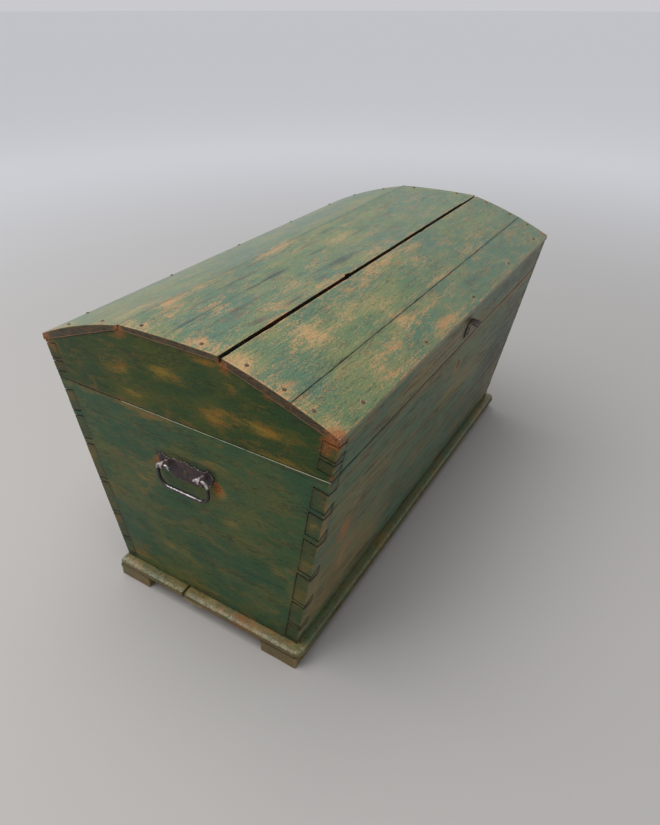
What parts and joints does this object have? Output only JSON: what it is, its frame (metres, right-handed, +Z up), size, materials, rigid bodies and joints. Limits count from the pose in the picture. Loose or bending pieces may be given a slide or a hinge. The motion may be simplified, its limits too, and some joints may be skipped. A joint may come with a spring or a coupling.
{
  "type": "wooden trunk",
  "caption": "Domed-lid wooden trunk with leaning dovetailed walls on a nosed base, a hinged lid, a bail handle on each end and a lock at the front.",
  "frame": {"origin": "middle of the outline on the floor, under the trunk", "axes": "+Z up, the front with its keyhole faces -Y, the length runs along X"},
  "size_m": [1.166, 0.6878, 0.6806],
  "materials": {
    "lid_paint": "worn sage green paint under thin varnish",
    "body_paint": "worn dark green paint under thin varnish",
    "base_wood": "olive brown stained wood, glossy where rubbed",
    "iron": "hand forged iron, brown with rust",
    "nail_iron": "forged iron nail heads, dark brown"
  },
  "bodies": {
    "chest": {"back_panel": "body_paint", "bottom_board_front": "base_wood", "bottom_board_rear": "base_wood", "bottom_nails": "nail_iron", "foot_front_left": "base_wood", "foot_front_right": "base_wood", "foot_nails": "nail_iron", "foot_rear_left": "base_wood", "foot_rear_right": "base_wood", "front_panel": "body_paint", "hinge_leaf_body_left": "iron", "hinge_leaf_body_right": "iron", "hinge_nails_body": "nail_iron", "hinge_pin_left": "iron", "hinge_pin_right": "iron", "left_end_panel": "body_paint", "left_handle_eye_front": "iron", "left_handle_eye_rear": "iron", "left_handle_nail": "nail_iron", "left_handle_plate": "iron", "lock_case": "iron", "lock_nails": "nail_iron", "right_end_panel": "body_paint", "right_handle_eye_front": "iron", "right_handle_eye_rear": "iron", "right_handle_nail": "nail_iron", "right_handle_plate": "iron"},
    "lid": {"lid_front_rail": "lid_paint", "lid_back_rail": "lid_paint", "lid_left_end": "lid_paint", "lid_right_end": "lid_paint", "cover_board_edge": "lid_paint", "cover_board_front": "lid_paint", "cover_board_middle": "lid_paint", "cover_board_back": "lid_paint", "cover_nails": "nail_iron", "hinge_leaf_lid_left": "iron", "hinge_leaf_lid_right": "iron", "hinge_nails_lid": "nail_iron", "lock_staple": "iron", "staple_nails": "nail_iron", "lid_pull": "iron", "lid_pull_nails": "nail_iron"},
    "left_bail": {"left_bail": "iron"},
    "right_bail": {"right_bail": "iron"},
    "lock_bolt": {"lock_bolt": "iron"}
  },
  "joints": [
    {"name": "lid_hinge", "type": "hinge", "parent": "chest", "child": "lid", "pos_m": [0, 0.33463, 0.5084], "axis": [-1, 0, 0], "range_deg": [0, 100]},
    {"name": "left_bail_hinge", "type": "hinge", "parent": "chest", "child": "left_bail", "pos_m": [-0.5735, 0.00789, 0.404], "axis": [0, 1, 0], "range_deg": [-8, 188]},
    {"name": "right_bail_hinge", "type": "hinge", "parent": "chest", "child": "right_bail", "pos_m": [0.5735, 0.00789, 0.404], "axis": [0, -1, 0], "range_deg": [-8, 188]},
    {"name": "lock_bolt_slide", "type": "slide", "parent": "chest", "child": "lock_bolt", "axis": [-1, 0, 0], "range_m": [0, 0.012]}
  ]
}
